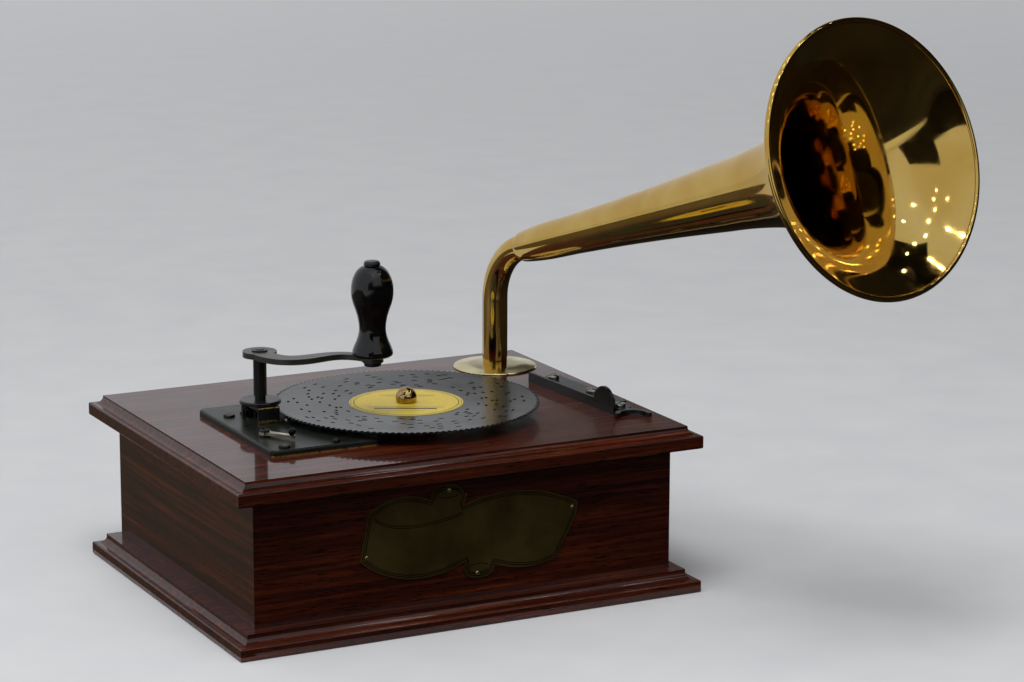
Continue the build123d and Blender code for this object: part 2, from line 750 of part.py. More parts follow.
# Angle bracket on the right: a low wall with a rounded ear, and a foot on the board
with BuildPart() as angle_bracket:
    with BuildSketch(bracket_frame):
        with Locations((foot_width / 2 - bracket_sheet / 2, foot_setback / 2)):
            Rectangle(foot_width, 2 * bracket_half - foot_setback)
        with Locations(*bracket_screw_offsets):
            Circle(1.3, mode=Mode.SUBTRACT)
    extrude(amount=bracket_sheet)
    wall_foot = bracket_frame.from_local_coords((-bracket_sheet / 2, 0, 0))
    with BuildSketch(Plane(wall_foot, x_dir=bracket_frame.y_dir, z_dir=bracket_frame.x_dir)):
        with Locations((0, bracket_height / 2)):
            Rectangle(2 * bracket_half, bracket_height)
        with Locations((-bracket_half + ear_radius, (ear_height - ear_radius) / 2)):
            Rectangle(2 * ear_radius, ear_height - ear_radius)
        with Locations((-bracket_half + ear_radius, ear_height - ear_radius)):
            Circle(ear_radius)
        with Locations((-bracket_half + ear_radius, -ear_radius)):
            Rectangle(4 * ear_radius, 2 * ear_radius, mode=Mode.SUBTRACT)
    extrude(amount=bracket_sheet)
save(angle_bracket, "angle_bracket")

with BuildPart() as bracket_screw_pair:
    bracket_screw = slotted_screw(2.9, 2.1, pilot_radius, 6.5, head_round=1.4)
    with Locations(*[(p.X, p.Y, board_top + bracket_sheet) for p in bracket_screws]):
        add(bracket_screw)
save(bracket_screw_pair, "bracket_screws")

# Finger lever: a round boss on its pivot screw and a crescent for the finger
lever_bottom = board_top + 0.35
lever_thickness = 1.7
crescent_ends = (-15, 150)
crescent_rays = [Vector(cos(radians(turn)), sin(radians(turn))) for turn in crescent_ends]
crescent_centre = Vector(crescent_x, crescent_y)
crescent_inner = crescent_radius - crescent_width / 2
crescent_outer = crescent_radius + crescent_width / 2
neck_middle = (lever_y + crescent_y + crescent_radius) / 2
with BuildPart() as finger_lever:
    with BuildSketch(Plane.XY.offset(lever_bottom)):
        with BuildLine():
            for reach in (crescent_inner, crescent_outer):
                CenterArc(crescent_centre, reach, crescent_ends[0], crescent_ends[1] - crescent_ends[0])
            for ray in crescent_rays:
                Line(crescent_centre + ray * crescent_inner, crescent_centre + ray * crescent_outer)
        make_face()
        with Locations(*[crescent_centre + ray * crescent_radius for ray in crescent_rays]):
            Circle(crescent_width / 2)
        with Locations(((lever_x + crescent_x) / 2, neck_middle)):
            Rectangle(5.4, lever_y - crescent_y - crescent_radius)
        with Locations((lever_x, lever_y)):
            Circle(lever_boss)
            Circle(1.6, mode=Mode.SUBTRACT)
    extrude(amount=lever_thickness)
save(finger_lever, "finger_lever")

with BuildPart() as lever_pivot:
    pivot = ((board_top - 5.5, pilot_radius, 5.5), (board_top, 1.5, 2.2), (board_top + 2.15, 2.9, 1.2))
    for bottom, radius, height in pivot:
        with BuildSketch(Plane((lever_x, lever_y, bottom))):
            Circle(radius)
        extrude(amount=height)
    fillet(lever_pivot.edges().group_by(Axis.Z)[-1], 0.8)
    with BuildSketch(Plane((lever_x, lever_y, board_top + 3.35))):
        Rectangle(7, 0.7, rotation=35)
    extrude(amount=-0.5, mode=Mode.SUBTRACT)
save(lever_pivot, "lever_pivot")

with BuildPart() as lever_washer:
    with BuildSketch(Plane((lever_x, lever_y, board_top))):
        Circle(4.2)
        Circle(1.5 + fit, mode=Mode.SUBTRACT)
    extrude(amount=0.3)
save(lever_washer, "lever_washer")

# Horn foot: a socket pressed into the top board and a thin escutcheon round it
horn_foot = Plane((horn_x, horn_y, board_top))
flange_height = 1.7
with BuildPart() as horn_socket:
    with BuildSketch(horn_foot):
        Circle(socket_radius)
        Circle(tube_radius + running_fit, mode=Mode.SUBTRACT)
    extrude(amount=board_underside - board_top + fit)
save(horn_socket, "horn_socket")

flange_bore = tube_radius + running_fit
flange_lip = (flange_radius - 0.3, 0.8)
flange_crown = (flange_bore + 1.5, flange_height)
with BuildPart() as horn_flange:
    with BuildSketch(Plane((horn_x, horn_y, board_top), x_dir=(1, 0, 0), z_dir=(0, -1, 0))):
        with BuildLine():
            Polyline((flange_bore, 0), (flange_radius - 0.5, 0), (flange_radius, 0.3), flange_lip)
            RadiusArc(flange_lip, flange_crown, 60)
            Polyline(flange_crown, (flange_bore, flange_height), (flange_bore, 0))
        make_face()
    revolve(axis=Axis((horn_x, horn_y, 0), (0, 0, 1)))
save(horn_flange, "horn_flange")

# Horn: the tube rises, bends in the plane of the horn's axis and enters the bell's neck
turn, rise = radians(horn_turn), radians(horn_rise)
horn_dir = Vector(cos(turn) * cos(rise), sin(turn) * cos(rise), sin(rise))
horn_root = Vector(horn_x, horn_y, horn_axis_height)
bend_reach = elbow_radius * tan(radians(90 - horn_rise) / 2)
neck_start = 22.0
tube_end = neck_start + 12.0
with BuildPart() as horn_elbow:
    with BuildLine() as tube_path:
        upright = Line((horn_x, horn_y, tube_foot), horn_root - Vector(0, 0, bend_reach))
        bend = TangentArc(upright @ 1, horn_root + horn_dir * bend_reach, tangent=(0, 0, 1))
        Line(bend @ 1, horn_root + horn_dir * tube_end)
    with BuildSketch(Plane((horn_x, horn_y, tube_foot))):
        Circle(tube_radius)
        Circle(tube_radius - tube_wall, mode=Mode.SUBTRACT)
    sweep()
save(horn_elbow, "horn_elbow")

# Neck and bell: outer radii along the axis, from the neck's shoulder to the rolled rim. They are
# one shell, rolled as far as the joint and spun beyond it
neck_profile = ((32, 7.95), (64, 9.1), (97, 10.5), (129, 12.35), (159, 14.5), (182, 16.3), (200, 18.9))
flare_profile = ((214, 22.4), (226, 27.2), (237, 33.9), (246, 42.3))
rim_centre = (bell_length, bell_radius - bead_radius)
bell_profile = (*neck_profile, *flare_profile, rim_centre)
side_dir = Vector(-sin(turn), cos(turn), 0)
with BuildPart() as horn_shell:
    with BuildSketch(Plane(horn_root, x_dir=horn_dir, z_dir=side_dir)):
        with BuildLine():
            outer = Spline(*bell_profile, tangents=((1, 0.036), (0.42, 1)))
            neck_bore = tube_radius + 0.05
            collar_points = ((neck_start, neck_bore + 0.6), (25.5, 7.3))
            shoulder = Spline(*collar_points, outer @ 0, tangents=((0.6, 1), (1, 0.036)))
            mouth = Line(shoulder @ 0, (neck_start, neck_bore))
            throat = Line(mouth @ 1, (neck_start + socket_length, neck_bore))
            inner_points = []
            for step in range(25):
                at = step / 24
                point, tangent = outer.position_at(at), outer.tangent_at(at)
                inner_points.append((point.X + horn_wall * tangent.Y, point.Y - horn_wall * tangent.X))
            inner = Spline(*inner_points)
            Line(throat @ 1, inner @ 0)
            Line(inner @ 1, outer @ 1)
        make_face()
        with Locations(rim_centre):
            Circle(bead_radius)
    revolve(axis=Axis(horn_root, horn_dir))
shell_end = bell_length + 2 * bead_radius
for shell_name, start, end in (("horn_neck", neck_start, bell_joint), ("horn_bell", bell_joint, shell_end)):
    with BuildPart() as shell_piece:
        add(horn_shell.part)
        with BuildSketch(Plane(horn_root + horn_dir * start, x_dir=side_dir, z_dir=horn_dir)):
            Circle(bell_radius + bead_radius)
        extrude(amount=end - start, mode=Mode.INTERSECT)
    save(shell_piece, shell_name)
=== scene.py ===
import bmesh
import bpy
import numpy as np
from mathutils import Matrix, Vector


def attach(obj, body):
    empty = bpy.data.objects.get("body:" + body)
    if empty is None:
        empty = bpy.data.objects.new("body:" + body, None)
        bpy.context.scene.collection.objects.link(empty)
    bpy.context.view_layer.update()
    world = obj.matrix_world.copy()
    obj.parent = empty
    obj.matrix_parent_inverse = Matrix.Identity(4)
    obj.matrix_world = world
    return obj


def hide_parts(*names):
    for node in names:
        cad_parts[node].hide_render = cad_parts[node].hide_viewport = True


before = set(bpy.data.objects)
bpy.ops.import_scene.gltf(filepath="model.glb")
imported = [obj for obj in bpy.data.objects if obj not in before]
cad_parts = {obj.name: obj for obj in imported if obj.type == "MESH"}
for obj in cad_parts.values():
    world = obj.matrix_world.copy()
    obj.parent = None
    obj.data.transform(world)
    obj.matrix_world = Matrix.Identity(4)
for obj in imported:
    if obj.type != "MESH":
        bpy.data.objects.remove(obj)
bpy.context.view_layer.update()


# ---- Camera ----------------------------------------------------------------------------------
# The picture is taken with a long lens from 1.4 m away, left of the front and above the horn.
# Lengths are in millimetres, and mm makes them metres; only the studio's are in metres.
mm = 0.001
eye = np.array([-562.2, -1206.0, 403.2]) * mm
turn_right, look_down, tilt = np.radians([27.28, 12.66, 0.18])
ahead = np.array([
    np.sin(turn_right) * np.cos(look_down),
    np.cos(turn_right) * np.cos(look_down),
    -np.sin(look_down),
])
level = np.array([np.cos(turn_right), -np.sin(turn_right), 0.0])
across = level * np.cos(tilt) + np.cross(level, ahead) * np.sin(tilt)
camera_data = bpy.data.cameras.new("camera")
camera_data.lens = 110.58
camera_data.sensor_width = 36.0
camera_data.sensor_fit = "HORIZONTAL"
camera_data.clip_end = 50.0
camera = bpy.data.objects.new("camera", camera_data)
bpy.context.scene.collection.objects.link(camera)
camera.matrix_world = Matrix.Translation(eye) @ Matrix(
    np.column_stack([across, np.cross(across, ahead), -ahead]).tolist()
).to_4x4()
bpy.context.scene.camera = camera
bpy.context.scene.view_settings.view_transform = "Standard"


# ---- Studio ----------------------------------------------------------------------------------
# A pale paper floor in a pale room, soft lamps above and at the sides, a ceiling of small bright
# spots, and dark cloths in front and at the right, which polished things mirror.
def srgb(code):
    """A hex colour as linear light: c / 12.92 below 0.04045, else ((c + 0.055) / 1.055) ** 2.4."""
    parts = np.array([int(code[at:at + 2], 16) for at in (1, 3, 5)]) / 255
    linear = np.where(parts <= 0.04045, parts / 12.92, ((parts + 0.055) / 1.055) ** 2.4)
    return (*linear, 1.0)


def add(tree, kind, sockets=None, stops=(), **settings):
    """Adds one node with its settings, its colour stops, and each socket's value or link."""
    made = tree.nodes.new("ShaderNode" + kind)
    for name, value in settings.items():
        setattr(made, name, value)
    for index, (place, code) in enumerate(stops):
        steps = made.color_ramp.elements
        stop = steps[index] if index < 2 else steps.new(place)
        stop.position = place
        stop.color = srgb(code)
    for socket, value in (sockets or {}).items():
        if isinstance(value, bpy.types.NodeSocket):
            tree.links.new(value, made.inputs[socket])
        else:
            made.inputs[socket].default_value = value
    return made


def material_tree(name):
    """A new material with nothing in it but its output, and that material's node tree."""
    made = bpy.data.materials.new(name)
    made.use_nodes = True
    made.node_tree.nodes.clear()
    return made, made.node_tree


def sheet_object(name, material, corner, first_edge, second_edge):
    """A flat four-sided sheet of the studio, given by one corner and the two edges that leave it."""
    corner, first_edge, second_edge = np.array([corner, first_edge, second_edge], float)
    corners = [corner, corner + first_edge, corner + first_edge + second_edge, corner + second_edge]
    mesh = bpy.data.meshes.new(name)
    mesh.from_pydata([tuple(place) for place in corners], [], [(0, 1, 2, 3)])
    mesh.materials.append(material)
    made = bpy.data.objects.new(name, mesh)
    bpy.context.scene.collection.objects.link(made)
    return made


room_light = 0.66
wall_colour = "#cfd0d4"
world = bpy.data.worlds.new("pale_room")
bpy.context.scene.world = world
world.use_nodes = True
tree = world.node_tree
tree.nodes.clear()
ray = add(tree, "LightPath").outputs
mirrored = add(tree, "Math", {0: ray["Is Camera Ray"], 1: ray["Is Glossy Ray"]}, operation="MAXIMUM")
seen = add(tree, "Math", {0: mirrored.outputs[0], 1: ray["Is Transmission Ray"]}, operation="MAXIMUM")
fill = add(tree, "Background", {"Color": srgb("#ffffff"), "Strength": room_light})
wall = add(tree, "Background", {"Color": srgb(wall_colour), "Strength": 1.0})
air = add(tree, "MixShader", {0: seen.outputs[0], 1: fill.outputs[0], 2: wall.outputs[0]})
add(tree, "OutputWorld", {"Surface": air.outputs[0]})

# Matt background paper: a faint mottle some 40 mm across, and paler from 0.6 m to 3 m away from
# the object, where less of the lamps' light falls
paper, tree = material_tree("matt_background_paper")
where = add(tree, "TexCoord").outputs["Object"]
mottle = add(tree, "TexNoise", {"Vector": where, "Scale": 1 / 0.04, "Detail": 3.0})
near = add(tree, "ValToRGB", {0: mottle.outputs[0]}, [(0.3, "#c6c7ca"), (0.7, "#cbccce")]).outputs[0]
away = add(tree, "VectorMath", {0: where}, operation="LENGTH").outputs["Value"]
fade = add(tree, "MapRange", {"Value": away, "From Min": 0.6, "From Max": 3.0}).outputs[0]
tone = add(tree, "Mix", {0: fade, 6: near, 7: srgb("#f3f5f9")}, data_type="RGBA").outputs[2]
coat = add(tree, "BsdfPrincipled", {"Base Color": tone, "Roughness": 0.9, "Specular IOR Level": 0.1})
add(tree, "OutputMaterial", {"Surface": coat.outputs[0]})
reach = 6.0
sheet_object("floor", paper, (-reach, -reach, 0), (2 * reach, 0, 0), (0, 2 * reach, 0))


def studio_cloth(name, dark, light):
    """Matt cloth whose colour wanders between two shades over folds some 0.4 m wide. Light that
    comes from behind it passes, so it takes no light from the floor or the wall it lies against."""
    made, tree = material_tree(name)
    where = add(tree, "TexCoord").outputs["Object"]
    folds = add(tree, "TexNoise", {"Vector": where, "Scale": 1 / 0.4, "Detail": 4.0})
    tone = add(tree, "ValToRGB", {0: folds.outputs[0]}, [(0.35, dark), (0.75, light)])
    coat = add(tree, "BsdfPrincipled", {"Base Color": tone.outputs[0], "Roughness": 1.0})
    side = add(tree, "NewGeometry").outputs["Backfacing"]
    clear = add(tree, "BsdfTransparent")
    weave = add(tree, "MixShader", {0: side, 1: coat.outputs[0], 2: clear.outputs[0]})
    add(tree, "OutputMaterial", {"Surface": weave.outputs[0]})
    return made


black_cloth = studio_cloth("black_studio_cloth", "#060504", "#241b14")
grey_cloth = studio_cloth("grey_studio_cloth", "#4a4439", "#6a6152")
# Each cloth's fabric, one corner and the two edges that leave it; its face is towards the object
above_floor = 0.002
cloths = {
    "cloth_on_floor": (black_cloth, (-0.5, -2.6, above_floor), (2.3, 0, 0), (0, 2.51, 0)),
    "cloth_on_floor_right": (black_cloth, (0.12, -0.09, above_floor), (1.68, 0, 0), (0, 0.69, 0)),
    "cloth_in_front": (black_cloth, (2.6, -2.6, 0), (-3.5, 0, 0), (0, 0, 0.65)),
    "cloth_front_left": (black_cloth, (-0.9, -2.6, 0), (-1.9, 0, 0), (0, 0, 1.5)),
    "cloth_at_right": (black_cloth, (1.8, 0.9, 0), (0, -3.5, 0), (0, 0, 2.4)),
    "cloth_above_right": (black_cloth, (0.6, -0.9, 2.4), (0, 2.9, 0), (2.8, 0, 0)),
    "cloth_behind_right": (grey_cloth, (1.45, 3.0, 0.89), (1.75, 0, 0), (0, 0, 1.11)),
    "cloth_at_left": (grey_cloth, (-1.6, -0.3, above_floor), (1.5, 0, 0), (0, 0.8, 0)),
}
for name, lie in cloths.items():
    flag = sheet_object(name, *lie)
    flag.visible_camera = flag.visible_shadow = flag.visible_transmission = False

lamps_look_at = Vector((0.05, 0.0, 0.1))


def lamp(name, place, width, height, power, mirrored):
    """A flat lamp that looks at the object; mirrored says whether polished things show it."""
    light = bpy.data.lights.new(name, "AREA")
    light.shape = "RECTANGLE"
    light.size = width
    light.size_y = height
    light.energy = power
    made = bpy.data.objects.new(name, light)
    bpy.context.scene.collection.objects.link(made)
    facing = (Vector(place) - lamps_look_at).to_track_quat("Z", "Y")
    made.matrix_world = Matrix.Translation(place) @ facing.to_matrix().to_4x4()
    made.visible_glossy = mirrored


lamp("lamp_overhead", (-0.35, -0.45, 1.7), 0.9, 0.9, 18.0, False)
lamp("lamp_left", (-1.7, -0.6, 0.9), 0.25, 0.9, 2.0, False)
lamp("lamp_right", (1.5, -1.4, 1.1), 0.25, 0.7, 1.5, False)
spot_size, spot_power, spot_height = 0.07, 0.35, 2.3
# The spots stand a little off their rows and columns, by one of three steps
step_aside = 0.11
for column, across_room in enumerate((-0.9, -0.3, 0.35, 0.95, 1.5)):
    for row, along_room in enumerate((-2.1, -1.45, -0.8, -0.2)):
        shift = step_aside * ((column + 2 * row) % 3)
        place = (across_room + shift, along_room - shift, spot_height)
        lamp(f"spot_{column}_{row}", place, spot_size, spot_size, spot_power, True)


# ---- Case: two moulded boards and four panels ------------------------------------------------
# Solid mahogany, stained a dark red-brown, grain-filled and finished in glossy lacquer. The
# boards' edges are routed to a ledge and a cove; the panels are mitred and glued between them.
def in_millimetres(tree):
    """The piece's own coordinates, in millimetres."""
    where = add(tree, "TexCoord").outputs["Object"]
    return add(tree, "VectorMath", {0: where, "Scale": 1 / mm}, operation="SCALE").outputs[0]


def mahogany(name, along):
    """Mahogany with its grain along X or Y: ribbons of colour 2.4 mm wide and 90 mm long, under
    dark pores 0.45 mm wide and 6 mm long, drawn about twice as wide as they are so that they show."""
    ribbon_width, ribbon_length = 2.4, 90.0
    pore_width, pore_length = 0.45, 6.0
    made, tree = material_tree(name)
    place = in_millimetres(tree)
    quarter = np.pi / 2 if along == "Y" else 0.0
    turned_place = add(tree, "Mapping", {"Vector": place, "Rotation": (0.0, 0.0, quarter)}).outputs[0]
    stretch = {"Vector": turned_place, "Scale": (1 / ribbon_length, 1 / ribbon_width, 1 / ribbon_width)}
    ribbon_place = add(tree, "Mapping", stretch).outputs[0]
    ribbon = add(tree, "TexNoise", {"Vector": ribbon_place, "Scale": 1.0, "Detail": 5.0, "Distortion": 0.5})
    stain = add(tree, "ValToRGB", {0: ribbon.outputs[0]},
                [(0.3, "#230b06"), (0.5, "#3a150b"), (0.66, "#54230f"), (0.85, "#7b3f1a")])
    stretch = {"Vector": turned_place, "Scale": (1 / pore_length, 1 / pore_width, 1 / pore_width)}
    pore_place = add(tree, "Mapping", stretch).outputs[0]
    pores = add(tree, "TexNoise", {"Vector": pore_place, "Scale": 1.0, "Detail": 2.0})
    pore = add(tree, "MapRange", {"Value": pores.outputs[0], "From Min": 0.56, "From Max": 0.7})
    pore_tone = srgb("#0d0403")
    filled = add(tree, "Mix", {0: pore.outputs[0], 6: stain.outputs[0], 7: pore_tone}, data_type="RGBA")
    cloud = add(tree, "TexNoise", {"Vector": place, "Scale": 1 / 45, "Detail": 3.0})
    uneven = add(tree, "MapRange", {
        "Value": cloud.outputs[0], "From Min": 0.3, "From Max": 0.7, "To Min": 0.28, "To Max": 0.4,
    })
    relief = add(tree, "Bump", {"Height": pore.outputs[0], "Strength": 0.25, "Distance": -0.03 * mm})
    lacquer = add(tree, "BsdfPrincipled", {
        "Base Color": filled.outputs[2], "Roughness": uneven.outputs[0], "Normal": relief.outputs[0],
        "IOR": 1.5, "Specular IOR Level": 0.05,
        "Coat Weight": 0.75, "Coat Roughness": 0.06, "Coat IOR": 1.5,
    })
    add(tree, "OutputMaterial", {"Surface": lacquer.outputs[0]})
    return made


def dress(names, material):
    """Puts a finish on pieces that keep their own shape."""
    for name in names:
        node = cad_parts[name]
        if not node.data.materials:
            node.data.materials.append(None)
        for place in node.material_slots:
            place.link = "OBJECT"
            place.material = material


lengthwise = mahogany("lacquered_mahogany_lengthwise", "X")
dress(["top_board", "base_board", "front_panel", "back_panel"], lengthwise)
dress(["left_panel", "right_panel"], mahogany("lacquered_mahogany_crosswise", "Y"))


# ---- Corner blocks and case screws -----------------------------------------------------------
# Unfinished pine glue blocks inside the four corners, drilled from below, and the zinc-plated
# slotted screws that pull the base board up against them.
pine, tree = material_tree("sawn_pine")
place = in_millimetres(tree)
upright_grain = add(tree, "Mapping", {"Vector": place, "Scale": (1 / 2.5, 1 / 2.5, 1 / 60)}).outputs[0]
rings = add(tree, "TexNoise", {"Vector": upright_grain, "Scale": 1.0, "Detail": 4.0})
tone = add(tree, "ValToRGB", {0: rings.outputs[0]}, [(0.35, "#b98f5d"), (0.65, "#d9bb87")])
relief = add(tree, "Bump", {"Height": rings.outputs[0], "Strength": 0.3, "Distance": 0.1 * mm})
wood = add(tree, "BsdfPrincipled", {
    "Base Color": tone.outputs[0], "Roughness": 0.75, "Normal": relief.outputs[0],
})
add(tree, "OutputMaterial", {"Surface": wood.outputs[0]})
dress(["corner_blocks"], pine)


def metal(name, shades, gloss, patch, scratch=0.0):
    """Bare metal: its colour wanders between two shades, and its roughness between two values,
    over patches some millimetres across. scratch is the height in mm of fine marks 0.4 mm wide."""
    made, tree = material_tree(name)
    place = in_millimetres(tree)
    cloud = add(tree, "TexNoise", {"Vector": place, "Scale": 1 / patch, "Detail": 5.0, "Roughness": 0.55})
    tone = add(tree, "ValToRGB", {0: cloud.outputs[0]}, [(0.32, shades[0]), (0.68, shades[1])])
    uneven = add(tree, "MapRange", {
        "Value": cloud.outputs[0], "From Min": 0.3, "From Max": 0.7, "To Min": gloss[1], "To Max": gloss[0],
    })
    surface = {"Base Color": tone.outputs[0], "Metallic": 1.0, "Roughness": uneven.outputs[0]}
    if scratch:
        marks = add(tree, "TexNoise", {"Vector": place, "Scale": 1 / 0.4, "Detail": 3.0})
        surface["Normal"] = add(tree, "Bump", {
            "Height": marks.outputs[0], "Strength": 0.5, "Distance": scratch * mm,
        }).outputs[0]
    shell = add(tree, "BsdfPrincipled", surface)
    add(tree, "OutputMaterial", {"Surface": shell.outputs[0]})
    return made


# Zinc plate: grey and slightly cloudy
dress(["case_screws"], metal("zinc_plated_steel", ("#8f9294", "#b4b7b8"), (0.28, 0.42), 3.0, 0.01))


# ---- Front plate -----------------------------------------------------------------------------
# A thin etched brass plate in the shape of a rolled ribbon, gone olive with age, left plain but
# for its double border and the edge of its fold, and held to the front by four small pins.
def curve_through(points, count, ends=None):
    """A smooth curve through points: on each run a cubic whose slope at a point is the chord
    slope of its neighbours, with distance along the chords as the parameter."""
    points = np.array(points, float)
    far = np.concatenate([[0.0], np.cumsum(np.linalg.norm(np.diff(points, axis=0), axis=1))])
    slope = np.gradient(points, far, axis=0)
    if ends:
        slope[0], slope[-1] = (np.array(end) / np.linalg.norm(end) for end in ends)
    at = np.linspace(0.0, far[-1], count)
    run = np.clip(np.searchsorted(far, at, "right") - 1, 0, len(points) - 2)
    length = (far[run + 1] - far[run])[:, None]
    u = (at - far[run])[:, None] / length
    return (
        (2 * u**3 - 3 * u**2 + 1) * points[run]
        + (u**3 - 2 * u**2 + u) * length * slope[run]
        + (3 * u**2 - 2 * u**3) * points[run + 1]
        + (u**3 - u**2) * length * slope[run + 1]
    )


def skin(rings, closed=False, capped=False):
    """Points and faces of the surface through rings, a grid of points: four-cornered faces join
    each ring to the next and the last to the first if closed; capped adds a face at each end."""
    rings = np.asarray(rings, float)
    count, width = rings.shape[:2]
    here = np.arange(count * width).reshape(count, width)
    after = np.roll(here, -1, axis=0)
    if not closed:
        here, after = here[:-1], after[:-1]
    faces = np.stack([here, np.roll(here, -1, 1), np.roll(after, -1, 1), after], -1).reshape(-1, 4).tolist()
    if capped:
        faces += [list(range(width)), list(range((count - 1) * width, count * width))]
    return rings.reshape(-1, 3), faces


def piece(name, shells, material, body, stands_for=(), crease=40.0):
    """One object from shells of points, in mm, and faces: points that coincide are merged, the
    faces turned outwards, and edges sharper than the crease angle, in degrees, kept crisp."""
    points, faces, start = [], [], 0
    for shell_points, shell_faces in shells:
        points.append(shell_points)
        faces += [[start + corner for corner in face] for face in shell_faces]
        start += len(shell_points)
    mesh = bpy.data.meshes.new(name)
    mesh.from_pydata((np.concatenate(points) * mm).tolist(), [], faces)
    shape = bmesh.new()
    shape.from_mesh(mesh)
    bmesh.ops.remove_doubles(shape, verts=shape.verts, dist=0.0005 * mm)
    bmesh.ops.recalc_face_normals(shape, faces=shape.faces)
    shape.to_mesh(mesh)
    shape.free()
    mesh.shade_smooth()
    mesh.set_sharp_from_angle(angle=np.radians(crease))
    mesh.materials.append(material)
    made = bpy.data.objects.new(name, mesh)
    bpy.context.scene.collection.objects.link(made)
    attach(made, body)
    if stands_for:
        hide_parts(*stands_for)
    return made


# Etched brass under old lacquer: olive where it has toned, with a fine etched tooth 0.5 mm wide
etched_brass, tree = material_tree("etched_brass_toned_olive")
place = in_millimetres(tree)
cloud = add(tree, "TexNoise", {"Vector": place, "Scale": 1 / 14, "Detail": 4.0})
tone = add(tree, "ValToRGB", {0: cloud.outputs[0]}, [(0.3, "#5c4f2a"), (0.7, "#7c6b3e")])
tooth = add(tree, "TexNoise", {"Vector": place, "Scale": 1 / 0.5, "Detail": 2.0})
relief = add(tree, "Bump", {"Height": tooth.outputs[0], "Strength": 0.35, "Distance": 0.02 * mm})
shell = add(tree, "BsdfPrincipled", {
    "Base Color": tone.outputs[0], "Metallic": 0.85, "Roughness": 0.36, "Normal": relief.outputs[0],
})
add(tree, "OutputMaterial", {"Surface": shell.outputs[0]})
dress(["front_plate"], etched_brass)

# Its outline again, in x and height, to carry the border lines
plate_face_y = -77.4
outline = np.concatenate([
    curve_through([(-49.8, 31.9), (-46.2, 51.6)], 20),
    curve_through([(-46.2, 51.6), (-39.6, 55.2), (-32.0, 57.0), (-24.5, 56.5), (-17.4, 54.2)], 30),
    curve_through([(-17.4, 54.2), (-16.5, 58.4), (-10.5, 59.9), (-4.0, 58.2), (-1.5, 55.2), (-2.7, 50.1)],
                  50, ((-0.2, 1), (-0.4, -1))),
    curve_through([(-2.7, 50.1), (8.9, 52.9), (23.0, 53.5), (38.0, 50.9), (51.2, 45.5)], 60,
                  ((1, 0.42), (1, -0.5))),
    curve_through([(51.2, 45.5), (50.4, 40.0), (46.9, 32.5), (41.4, 22.2)], 30),
    curve_through([(41.4, 22.2), (34.4, 20.2), (27.0, 19.8), (19.4, 20.9), (11.7, 23.2)], 30),
    curve_through([(11.7, 23.2), (10.6, 19.6), (5.1, 18.0), (-1.7, 20.6), (-2.8, 23.3), (-1.1, 26.1)],
                  50, ((0.2, -1), (0.6, 1))),
    curve_through([(-1.1, 26.1), (-13.5, 22.1), (-25.0, 21.4), (-37.2, 24.1), (-49.8, 31.9)], 60,
                  ((-1, -0.45), (-1, 0.9))),
])
outline = outline[np.linalg.norm(outline - np.roll(outline, 1, axis=0), axis=1) > 0.02]


line_width, line_half_depth = 0.34, 0.03


def plate_line(points):
    """An etched line along points (x, height) on the plate's face, as a bar of four-cornered
    section that stands half out of it."""
    along = np.gradient(points, axis=0)
    along /= np.linalg.norm(along, axis=1)[:, None]
    side = np.stack([-along[:, 1], along[:, 0]], 1) * line_width / 2
    deep = line_half_depth
    rings = []
    for edge, depth in ((side, deep), (side, -deep), (-side, -deep), (-side, deep)):
        at = points + edge
        rings.append(np.stack([at[:, 0], np.full(len(at), plate_face_y + depth), at[:, 1]], 1))
    return skin(np.stack(rings, 1), capped=True)


# Each border line is the outline moved inwards; where it would cross itself it stops
line_shells = []
shortest_line = 4
heading = np.roll(outline, -1, axis=0) - np.roll(outline, 1, axis=0)
inward = np.stack([heading[:, 1], -heading[:, 0]], 1) / np.linalg.norm(heading, axis=1)[:, None]
for inset in (0.9, 1.75):
    moved = outline + inward * inset
    gap = np.linalg.norm(moved[:, None] - outline[None], axis=2).min(axis=1)
    good = np.flatnonzero(gap > 0.97 * inset)
    for run in np.split(good, np.flatnonzero(np.diff(good) > 1) + 1):
        if len(run) > shortest_line:
            line_shells.append(plate_line(moved[run]))
# The near edge of the fold, seen at the upper left, and the rolled ends' inner turns
fold = [(-43.8, 49.2), (-41.6, 47.5), (-38.6, 45.9), (-34.8, 44.6), (-30.3, 43.9),
        (-24.2, 43.5), (-18.1, 43.8), (-11.9, 44.6), (-7.3, 45.3), (-2.7, 46.7)]
for lift in (0.0, 0.9):
    line_shells.append(plate_line(curve_through(np.array(fold) + (0.0, lift), 60)))
for middle, half_wide, half_high in (((-9.4, 56.3), 5.2, 1.9), ((4.4, 22.3), 4.9, 2.0)):
    turn = np.linspace(0.15 * np.pi, 1.85 * np.pi, 40)
    roll = np.stack([middle[0] + half_wide * np.cos(turn), middle[1] + half_high * np.sin(turn)], 1)
    line_shells.append(plate_line(roll))
black_wax = metal("black_wax_in_etched_line", ("#1d190f", "#2c2617"), (0.45, 0.6), 3.0)
piece("front_plate_lines", line_shells, black_wax, "case")

# Small brass pins, paler than the plate because their heads are rubbed
pin_brass = metal("rubbed_brass_pin", ("#b7a468", "#d8c994"), (0.18, 0.3), 2.0)
dress(["plate_pins"], pin_brass)


